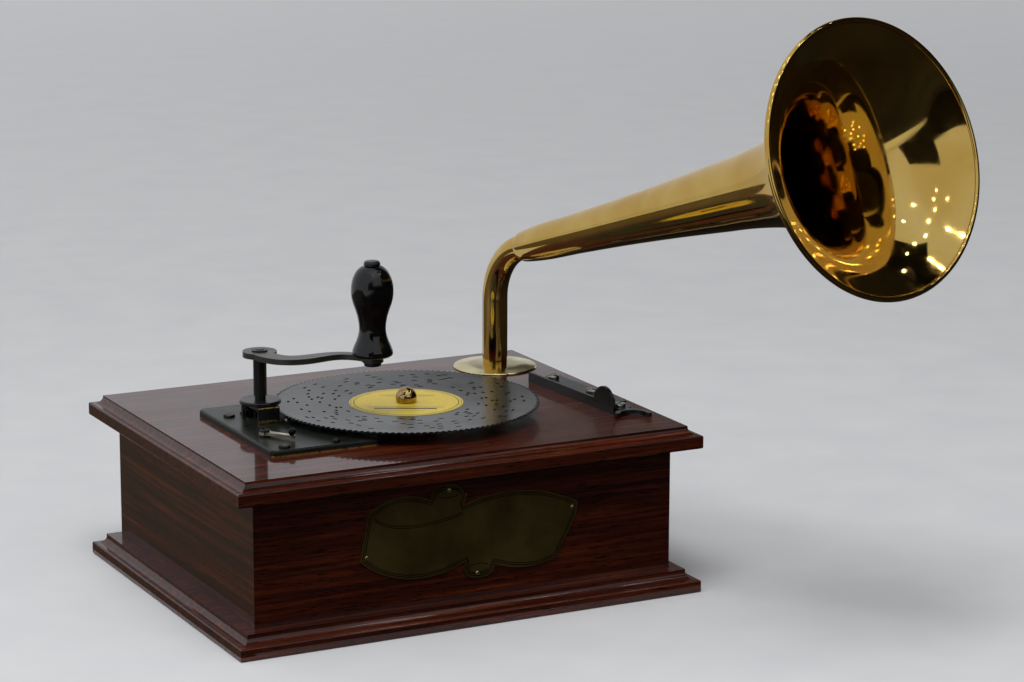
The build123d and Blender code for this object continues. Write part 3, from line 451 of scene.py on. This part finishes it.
# ---- Bedplate --------------------------------------------------------------------------------
# Cast brass plate under the movement, painted a dark grey-green with a soft gloss. A line of
# brass colour along its front foot is a painted highlight, where the edge catches light. Slotted screws
# hold it to the top board.
def paint(name, colour, gloss, peel, glint_colour=None, glint_where=None, shine=0.5):
    """Paint or lacquer over metal: a colour, a roughness that wanders between two values over
    15 mm, and orange peel some millimetres wide. The optional edge colour, with its mask, is a metallic
    colour painted as a highlight, broken up by specks, on edges that catch light;
    shine is how strongly the coat mirrors, 0.5 for plain lacquer."""
    made, tree = material_tree(name)
    place = in_millimetres(tree)
    cloud = add(tree, "TexNoise", {"Vector": place, "Scale": 1 / 15, "Detail": 5.0})
    tone = add(tree, "ValToRGB", {0: cloud.outputs[0]}, [(0.3, colour[0]), (0.7, colour[1])]).outputs[0]
    uneven = add(tree, "MapRange", {
        "Value": cloud.outputs[0], "From Min": 0.3, "From Max": 0.7, "To Min": gloss[0], "To Max": gloss[1],
    })
    dimples = add(tree, "TexNoise", {"Vector": place, "Scale": 1 / peel, "Detail": 1.0})
    relief = add(tree, "Bump", {"Height": dimples.outputs[0], "Strength": 0.3, "Distance": 0.012 * mm})
    surface = {"Base Color": tone, "Roughness": uneven.outputs[0], "IOR": 1.5,
               "Specular IOR Level": shine, "Normal": relief.outputs[0]}
    # Painted highlight: a metallic edge colour, broken up by specks, laid where the mask marks an edge that
    # catches light
    if glint_colour:
        speck = add(tree, "TexNoise", {"Vector": place, "Scale": 1 / 2.5, "Detail": 4.0})
        thin = add(tree, "MapRange", {"Value": speck.outputs[0], "From Min": 0.36, "From Max": 0.5})
        glint_amount = add(tree, "Math", {0: thin.outputs[0], 1: glint_where(tree, place)}, operation="MULTIPLY")
        showing = {0: glint_amount.outputs[0], 6: tone, 7: srgb(glint_colour)}
        surface["Base Color"] = add(tree, "Mix", showing, data_type="RGBA").outputs[2]
        surface["Metallic"] = glint_amount.outputs[0]
    coat = add(tree, "BsdfPrincipled", surface)
    add(tree, "OutputMaterial", {"Surface": coat.outputs[0]})
    return made


def within(tree, value, low, high):
    """One where the value lies between low and high, and nought elsewhere."""
    above = add(tree, "Math", {0: value, 1: low}, operation="GREATER_THAN").outputs[0]
    below = add(tree, "Math", {0: value, 1: high}, operation="LESS_THAN").outputs[0]
    return add(tree, "Math", {0: above, 1: below}, operation="MULTIPLY").outputs[0]


def front_foot_glint_band(tree, place):
    """One along the lowest 0.45 mm of the bedplate's front edge, where a brass-coloured highlight is
    painted, and nought elsewhere.
    """
    axes = add(tree, "SeparateXYZ", {0: place}).outputs
    foot = within(tree, axes["Z"], 73.0, 73.85)
    front = within(tree, axes["Y"], -60.0, -50.0)
    return add(tree, "Math", {0: foot, 1: front}, operation="MULTIPLY").outputs[0]


# The brass line along the front foot is a painted highlight, where the edge catches light
dress(["bedplate"], paint("grey_green_enamel_with_painted_edge_glint", ("#10130f", "#1a1d18"), (0.24, 0.36), 3.0,
                          "#b08c45", front_foot_glint_band, shine=0.2))
screw_steel = metal("turned_steel_screw", ("#8b8981", "#c2beb2"), (0.2, 0.34), 2.2, 0.008)
dress(["bedplate_screws"], metal("blackened_steel_screw", ("#23231f", "#4a4a44"), (0.3, 0.42), 2.2, 0.008))


# ---- Movement: spindle, star wheels, gantry and comb -----------------------------------------
# Turned steel spindle riveted in the bedplate's tongue; twelve stamped star wheels on one arbor,
# which each note on the disc turns a tooth; a steel gantry holds them and a ground comb sounds.
turned_steel = metal("turned_bright_steel", ("#a5a39b", "#cfccc2"), (0.16, 0.28), 2.5, 0.006)
stamped_steel = metal("stamped_steel", ("#77766f", "#a09f98"), (0.28, 0.4), 3.0, 0.01)
dress(["spindle", "star_arbor", "gantry_rivets", "comb_screws", "shaft_clip"], turned_steel)
dress(["star_wheels", "gantry"], stamped_steel)
dress(["comb"], metal("hardened_comb_steel", ("#8d9195", "#b6babd"), (0.12, 0.22), 6.0, 0.004))
dress(["comb_bolster"], metal("rolled_brass_strip", ("#a9853c", "#c9a659"), (0.3, 0.42), 4.0, 0.01))
pale_brass = metal("lacquered_pale_brass", ("#cdbf86", "#e6dcb0"), (0.12, 0.26), 12.0, 0.004)


# ---- Disc, label and knob --------------------------------------------------------------------
# A sheet-steel disc, toothed round its rim and punched with rows of notes, under dark semi-gloss
# lacquer that mirrors the horn's foot; a printed paper label; a turned ball knob of plated brass.
disc_x, disc_y = 3.5, -9.3


def from_spindle(tree, place):
    """How far a place is from the spindle's axis, across it: as a vector, and as a length."""
    moved = {"Vector": place, "Location": (-disc_x, -disc_y, 0.0), "Scale": (1.0, 1.0, 0.0)}
    offset = add(tree, "Mapping", moved).outputs[0]
    return offset, add(tree, "VectorMath", {0: offset}, operation="LENGTH").outputs["Value"]


def ripples(tree, distance, pitch):
    """A wave of that pitch in mm: the sine of 2 pi distance / pitch."""
    phase = add(tree, "Math", {0: distance, 1: 2 * np.pi / pitch}, operation="MULTIPLY").outputs[0]
    return add(tree, "Math", {0: phase}, operation="SINE").outputs[0]


disc_lacquer, tree = material_tree("dark_lacquered_sheet_steel")
place = in_millimetres(tree)
cloud = add(tree, "TexNoise", {"Vector": place, "Scale": 1 / 20, "Detail": 5.0})
tone = add(tree, "ValToRGB", {0: cloud.outputs[0]}, [(0.3, "#2b2d2d"), (0.7, "#383b3b")])
# Faint rings 0.9 mm apart, left by the roller that flattened the sheet after punching
wave = ripples(tree, from_spindle(tree, place)[1], 0.9)
relief = add(tree, "Bump", {"Height": wave, "Strength": 0.12, "Distance": 0.006 * mm})
uneven = add(tree, "MapRange", {
    "Value": cloud.outputs[0], "From Min": 0.3, "From Max": 0.7, "To Min": 0.16, "To Max": 0.26,
})
shell = add(tree, "BsdfPrincipled", {
    "Base Color": tone.outputs[0], "Metallic": 0.6, "Roughness": uneven.outputs[0],
    "Normal": relief.outputs[0],
})
add(tree, "OutputMaterial", {"Surface": shell.outputs[0]})
dress(["disc"], disc_lacquer)

# Calendered label paper: yellow, with two thin dark rings near its edge and plain printed rules
label_paper, tree = material_tree("printed_label_paper")
place = in_millimetres(tree)
fibres = add(tree, "TexNoise", {"Vector": place, "Scale": 1 / 1.2, "Detail": 4.0})
tone = add(tree, "ValToRGB", {0: fibres.outputs[0]}, [(0.3, "#bfa632"), (0.7, "#cdb546")]).outputs[0]
label_turn = np.radians(-27.0)
offset, radius = from_spindle(tree, place)
turned_label = add(tree, "Mapping", {"Vector": offset, "Rotation": (0.0, 0.0, -label_turn)})
axes = add(tree, "SeparateXYZ", {0: turned_label.outputs[0]}).outputs
marks = [within(tree, radius, low, high) for low, high in ((22.5, 23.0), (23.9, 24.2))]
# Each rule's lower and upper edge, and half its length
rules = ((12.0, 12.7, 12.0), (9.6, 9.9, 9.0), (-9.3, -8.6, 16.5), (-12.6, -10.6, 13.5), (-15.2, -14.9, 8.5))
for low, high, half in rules:
    crossing = {0: within(tree, axes["Y"], low, high), 1: within(tree, axes["X"], -half, half)}
    marks.append(add(tree, "Math", crossing, operation="MULTIPLY").outputs[0])
ink = marks[0]
for mark in marks[1:]:
    ink = add(tree, "Math", {0: ink, 1: mark}, operation="MAXIMUM").outputs[0]
printed = add(tree, "Mix", {0: ink, 6: tone, 7: srgb("#4b4423")}, data_type="RGBA").outputs[2]
relief = add(tree, "Bump", {"Height": fibres.outputs[0], "Strength": 0.15, "Distance": 0.02 * mm})
shell = add(tree, "BsdfPrincipled", {"Base Color": printed, "Roughness": 0.42, "Normal": relief.outputs[0]})
add(tree, "OutputMaterial", {"Surface": shell.outputs[0]})
dress(["disc_label"], label_paper)


def turned(profile, centre, axis=(0.0, 0.0, 1.0), around=128):
    """A turned form: each (radius, height) of the profile becomes a circle of that radius round
    the axis, that far along it from the centre."""
    profile = np.array(profile, float)
    axis = np.array(axis, float)
    side = np.cross(axis, (0.0, 1.0, 0.0))
    side /= np.linalg.norm(side)
    turn = np.linspace(0.0, 2 * np.pi, around, endpoint=False)
    rim = np.cos(turn)[:, None] * side + np.sin(turn)[:, None] * np.cross(axis, side)
    return np.array(centre) + profile[:, 1, None, None] * axis + profile[:, 0, None, None] * rim


def arc(centre, radius, start, end, count):
    """Points (radius, height) on a circle, from one angle to another in degrees."""
    turn = np.radians(np.linspace(start, end, count))
    return np.stack([centre[0] + radius * np.cos(turn), centre[1] + radius * np.sin(turn)], 1)


ball_radius, ball_centre, ball_foot = 4.6, 81.0, 78.95
knob_bore, bore_top = 2.56, 83.3
foot_angle = -np.degrees(np.arcsin((ball_centre - ball_foot) / ball_radius))
knob_profile = np.concatenate([
    arc((0.0, ball_centre), ball_radius, 90, foot_angle, 60),
    [(knob_bore, ball_foot), (knob_bore, bore_top), (0.0, bore_top)],
])
plated_brass = metal("worn_nickel_on_brass", ("#8f7038", "#c9b07a"), (0.08, 0.2), 3.5)
piece("disc_knob_ball", [skin(turned(knob_profile, (disc_x, disc_y, 0.0)))], plated_brass,
      "knob", ["disc_knob"], 30.0)


# ---- Crank: shaft, pinion, bridge, collar, sleeve and arm ------------------------------------
# Steel parts under black stove lacquer: a strip bent into a bridge carries the shaft over its
# pinion, a collar and a sleeve turn on it, and a flat pressed arm reaches to the handle.
black_lacquer = paint("black_stove_lacquer", ("#0a0a0a", "#131414"), (0.24, 0.36), 2.5)


def bridge_edge_glints(tree, place):
    """One on the front of the bridge, along its deck's upper edge and its foot, where brass-coloured
    highlights are painted.
    """
    axes = add(tree, "SeparateXYZ", {0: place}).outputs
    deck = within(tree, axes["Z"], 82.25, 82.75)
    foot = within(tree, axes["Z"], 76.4, 77.05)
    either = add(tree, "Math", {0: deck, 1: foot}, operation="MAXIMUM").outputs[0]
    front = within(tree, axes["Y"], -9.0, -6.3)
    return add(tree, "Math", {0: either, 1: front}, operation="MULTIPLY").outputs[0]


# Brass-coloured painted highlights along the bridge's front edges, where they catch light
dress(["bearing_bridge"], paint("black_lacquer_with_painted_edge_glints", ("#0a0a0a", "#131414"), (0.24, 0.36), 2.5,
                                "#9a7638", bridge_edge_glints))
dress(["crank_collar", "crank_sleeve", "crank_cap", "crank_shaft", "handle_nut", "shaft_bush"],
      black_lacquer)
# The arm's lacquer is a lighter grey than the other black parts: painted sheen for its grazing reflection
dress(["crank_arm"], paint("black_lacquer_with_painted_sheen", ("#1e1e1b", "#2d2d28"), (0.26, 0.36), 2.5, shine=0.9))
dress(["handle_axle"], turned_steel)
dress(["drive_pinion"], metal("blackened_hobbed_steel", ("#141412", "#2b2a26"), (0.3, 0.42), 3.0, 0.006))


# ---- Handle: turned grip and its button ------------------------------------------------------
# Turned hardwood dipped in black gloss until the grain is filled, loose on a riveted axle, with a
# black button head on top.
handle_x, handle_y = -20.8, -27.7
grip_foot, button_foot = 105.65, 144.65
grip_bore = 1.86
flank = [(8.55, 1.9), (7.75, 4.5), (6.7, 7.0), (5.9, 9.6), (5.65, 12.1), (5.9, 14.7), (6.45, 17.4),
         (7.25, 20.0), (8.2, 22.8), (8.85, 25.8), (8.95, 28.6), (8.7, 31.4), (7.9, 34.2), (6.3, 36.9),
         (3.9, 38.6)]
grip_profile = np.concatenate([
    [(grip_bore, 0.0)],
    curve_through([(7.7, 0.0), (8.3, 0.4), (8.62, 1.1), (8.55, 1.9)], 10),
    curve_through(flank, 110, ((-0.1, 1), (-1, 0.3)))[1:],
    [(grip_bore, 38.7)],
])
gloss_black, tree = material_tree("black_gloss_on_turned_wood")
place = in_millimetres(tree)
smears = add(tree, "TexNoise", {"Vector": place, "Scale": 1 / 7, "Detail": 5.0, "Distortion": 1.0})
uneven = add(tree, "MapRange", {
    "Value": smears.outputs[0], "From Min": 0.35, "From Max": 0.7, "To Min": 0.06, "To Max": 0.2,
})
tone = add(tree, "ValToRGB", {0: smears.outputs[0]}, [(0.3, "#050505"), (0.7, "#0b0c0b")])
# Turning marks 1.3 mm apart, nearly filled by the gloss
wave = ripples(tree, add(tree, "SeparateXYZ", {0: place}).outputs["Z"], 1.3)
relief = add(tree, "Bump", {"Height": wave, "Strength": 0.1, "Distance": 0.005 * mm})
shell = add(tree, "BsdfPrincipled", {
    "Base Color": tone.outputs[0], "Roughness": uneven.outputs[0], "IOR": 1.5, "Normal": relief.outputs[0],
})
add(tree, "OutputMaterial", {"Surface": shell.outputs[0]})
handle_place = (handle_x, handle_y, grip_foot)
piece("handle_grip_turned", [skin(turned(grip_profile, handle_place), closed=True)], gloss_black,
      "grip", ["handle_grip"], 45.0)
button_radius, button_height, button_round = 3.5, 1.9, 1.2
button_profile = np.concatenate([
    [(0.0, 0.0), (button_radius, 0.0)],
    arc((button_radius - button_round, button_height - button_round), button_round, 0, 90, 14),
    [(0.0, button_height)],
])
button_place = (handle_x, handle_y, button_foot)
piece("handle_button", [skin(turned(button_profile, button_place, around=64))], black_lacquer,
      "crank", ["handle_cap"], 45.0)


# ---- Catch lever -----------------------------------------------------------------------------
# A small flat lever of bright steel on a riveted post, ending in a blackened ball for the finger.
dress(["catch_lever"], metal("polished_steel_lever", ("#b3aa90", "#ded6bd"), (0.14, 0.24), 3.0, 0.005))
dress(["catch_post"], black_lacquer)
dress(["catch_ball"], metal("gun_blued_ball", ("#101112", "#24272a"), (0.12, 0.24), 1.5))


# ---- Angle bracket and finger lever ----------------------------------------------------------
# An angle of black-lacquered sheet steel with a rounded ear, two bright domed screws in its foot,
# and a flat black lever with a crescent end that turns under its own screw.
dress(["angle_bracket", "finger_lever"], black_lacquer)
dress(["bracket_screws", "lever_pivot", "lever_washer"], screw_steel)


# ---- Horn: socket, flange, elbow and bell ----------------------------------------------------
# Spun and polished brass: a bent tube rises out of a pale brass socket and escutcheon, and a long
# bell, soldered on at its shoulder, flares to a wired rim.
horn_x, horn_y, board_top, root_height = 79.4, 55.3, 73.4, 126.3
tube_radius, tube_wall = 5.75, 0.9
flange_bore = tube_radius + 0.06
flange_profile = np.concatenate([
    [(flange_bore, 0.0), (18.7, 0.0), (19.2, 0.3)],
    curve_through([(18.9, 0.8), (13.2, 1.52), (7.3, 1.7)], 16),
    [(flange_bore, 1.7)],
])
dress(["horn_socket"], pale_brass)
flange_place = (horn_x, horn_y, board_top)
piece("horn_escutcheon", [skin(turned(flange_profile, flange_place, around=160), closed=True)],
      pale_brass, "case", ["horn_flange"], 30.0)

# Polished brass: gold, a little redder where it has toned over patches 35 mm wide, with wiping
# marks that dull the polish
horn_brass, tree = material_tree("polished_spun_brass")
place = in_millimetres(tree)
cloud = add(tree, "TexNoise", {"Vector": place, "Scale": 1 / 35, "Detail": 5.0, "Distortion": 0.6})
tone = add(tree, "ValToRGB", {0: cloud.outputs[0]}, [(0.3, "#c79f4c"), (0.7, "#d9bb6e")])
smears = add(tree, "TexNoise", {"Vector": place, "Scale": 1 / 9, "Detail": 6.0, "Distortion": 1.2})
uneven = add(tree, "MapRange", {
    "Value": smears.outputs[0], "From Min": 0.4, "From Max": 0.75, "To Min": 0.045, "To Max": 0.13,
})
shell = add(tree, "BsdfPrincipled", {
    "Base Color": tone.outputs[0], "Metallic": 1.0, "Roughness": uneven.outputs[0],
})
add(tree, "OutputMaterial", {"Surface": shell.outputs[0]})

horn_turn, horn_rise = np.radians([-79.1, 17.3])
level_dir = np.array([np.cos(horn_turn), np.sin(horn_turn), 0.0])
upward = np.array([0.0, 0.0, 1.0])
horn_dir = level_dir * np.cos(horn_rise) + upward * np.sin(horn_rise)
horn_root = np.array([horn_x, horn_y, root_height])
bend_radius, tube_foot, neck_start, tube_end = 28.0, 62.0, 22.0, 34.0
bend_angle = np.pi / 2 - horn_rise
bend_reach = bend_radius * np.tan(bend_angle / 2)
bend_start = horn_root - upward * bend_reach
bend_middle = bend_start + level_dir * bend_radius
swing = np.linspace(0.0, bend_angle, 48)[:, None]
tube_path = np.concatenate([
    horn_root * (1, 1, 0) + upward * np.linspace(tube_foot, bend_start[2], 12, endpoint=False)[:, None],
    bend_middle + bend_radius * (np.sin(swing) * upward - np.cos(swing) * level_dir),
    horn_root + horn_dir * np.linspace(bend_reach, tube_end, 5)[1:, None],
])
tube_heading = np.gradient(tube_path, axis=0)
tube_heading /= np.linalg.norm(tube_heading, axis=1)[:, None]
tube_side = np.cross(upward, level_dir)
tube_over = np.cross(tube_heading, tube_side)
turn = np.linspace(0.0, 2 * np.pi, 96, endpoint=False)[None, :, None]
wheel = np.cos(turn) * tube_side + np.sin(turn) * tube_over[:, None]
tube_rings = np.concatenate([
    tube_path[:, None] + tube_radius * wheel,
    (tube_path[:, None] + (tube_radius - tube_wall) * wheel)[::-1],
])
piece("horn_elbow_tube", [skin(tube_rings, closed=True)], horn_brass,
      "horn", ["horn_elbow"], 50.0)

bell_wall, rim_bead = 0.8, 1.2
neck_bore, socket_end = tube_radius + 0.05, neck_start + 5.0
bell_line = [(22.0, 6.4), (23.2, 6.95), (25.5, 7.3), (32, 7.95), (64, 9.1), (97, 10.5), (129, 12.35),
             (159, 14.5), (182, 16.3), (200, 18.9), (214, 22.4), (226, 27.2), (237, 33.9), (246, 42.3),
             (254.9, 55.7)]
outside = curve_through(bell_line, 170)[:, ::-1]
slope = np.gradient(outside, axis=0)
slope /= np.linalg.norm(slope, axis=1)[:, None]
inside = (outside + bell_wall * np.stack([-slope[:, 1], slope[:, 0]], 1))[::-1]
inside = inside[inside[:, 1] > socket_end + 1.0]
bell_profile = np.concatenate([outside, inside, [(neck_bore, socket_end), (neck_bore, neck_start)]])
bead_profile = arc((outside[-1, 0], outside[-1, 1]), rim_bead, 0, 345, 24)
piece("horn_bell_spun", [
    skin(turned(bell_profile, horn_root, horn_dir, 224), closed=True),
    skin(turned(bead_profile, horn_root, horn_dir, 224), closed=True),
], horn_brass, "horn", ["horn_neck", "horn_bell"], 50.0)
